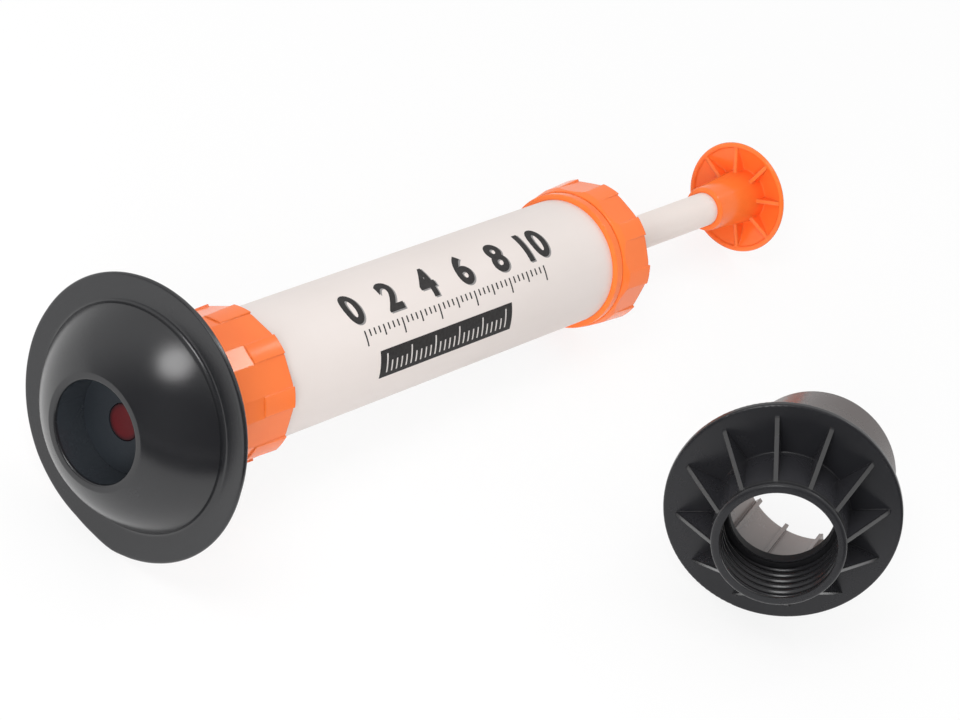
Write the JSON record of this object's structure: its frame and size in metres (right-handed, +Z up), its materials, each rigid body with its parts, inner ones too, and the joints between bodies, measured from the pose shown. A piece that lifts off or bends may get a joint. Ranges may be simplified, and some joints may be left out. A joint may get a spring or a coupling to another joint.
{
  "type": "drain unblocking pump",
  "caption": "Hand pump for blocked drains: a barrel with a sliding rod and palm handle, a rubber cup screwed to its nose, and a loose bent pan adapter.",
  "frame": {"origin": "on the floor, in the middle of the whole outline seen from above", "axes": "+Z up; +X along the pump from its cup to its handle, seen from above; the adapter lies on the -Y side"},
  "size_m": [0.6164, 0.3652, 0.159],
  "materials": {
    "white_plastic": "satin warm white",
    "orange_plastic": "glossy orange",
    "black_rubber": "satin black",
    "black_plastic": "satin black",
    "red_rubber": "dark red",
    "seal_rubber": "matt dark grey",
    "bearing_plastic": "natural white",
    "steel": "plain"
  },
  "bodies": {
    "pump": {"barrel": "white_plastic", "front_socket": "orange_plastic", "front_cap": "orange_plastic", "front_gasket": "seal_rubber", "spout": "black_plastic", "outlet_valve": "red_rubber", "valve_retainer": "black_plastic", "rear_socket": "orange_plastic", "rear_cap": "orange_plastic", "rear_gasket": "seal_rubber", "rod_bush": "bearing_plastic", "rod_wiper": "seal_rubber"},
    "cup": {"cup": "black_rubber", "cup_ring": "black_plastic", "cup_seal": "seal_rubber"},
    "piston": {"piston_front": "black_plastic", "piston_seal": "seal_rubber", "piston_back": "black_plastic", "piston_band": "bearing_plastic"},
    "plunger": {"piston_bolt": "steel", "piston_washer": "steel", "rod": "white_plastic", "rod_plug": "bearing_plastic", "handle": "orange_plastic", "handle_plug": "bearing_plastic", "handle_screw": "steel", "palm_cap": "orange_plastic"},
    "adapter": {"adapter": "black_plastic", "adapter_seal": "seal_rubber"}
  },
  "joints": [
    {"name": "rod_slide", "type": "slide", "parent": "pump", "child": "piston", "axis": [0.9972, 0, -0.0751], "range_m": [-0.114, 0.205]},
    {"name": "rod_turn", "type": "hinge", "parent": "piston", "child": "plunger", "pos_m": [-0.08618, 0.10203, 0.06452], "axis": [0.9972, 0, -0.0751], "continuous": true},
    {"name": "cup_off", "type": "slide", "parent": "pump", "child": "cup", "axis": [-0.9972, 0, 0.0751], "range_m": [0, 0.06]},
    {"name": "adapter_off", "type": "slide", "parent": "pump", "child": "adapter", "axis": [0, 0, 1], "range_m": [0, 0.15]}
  ]
}
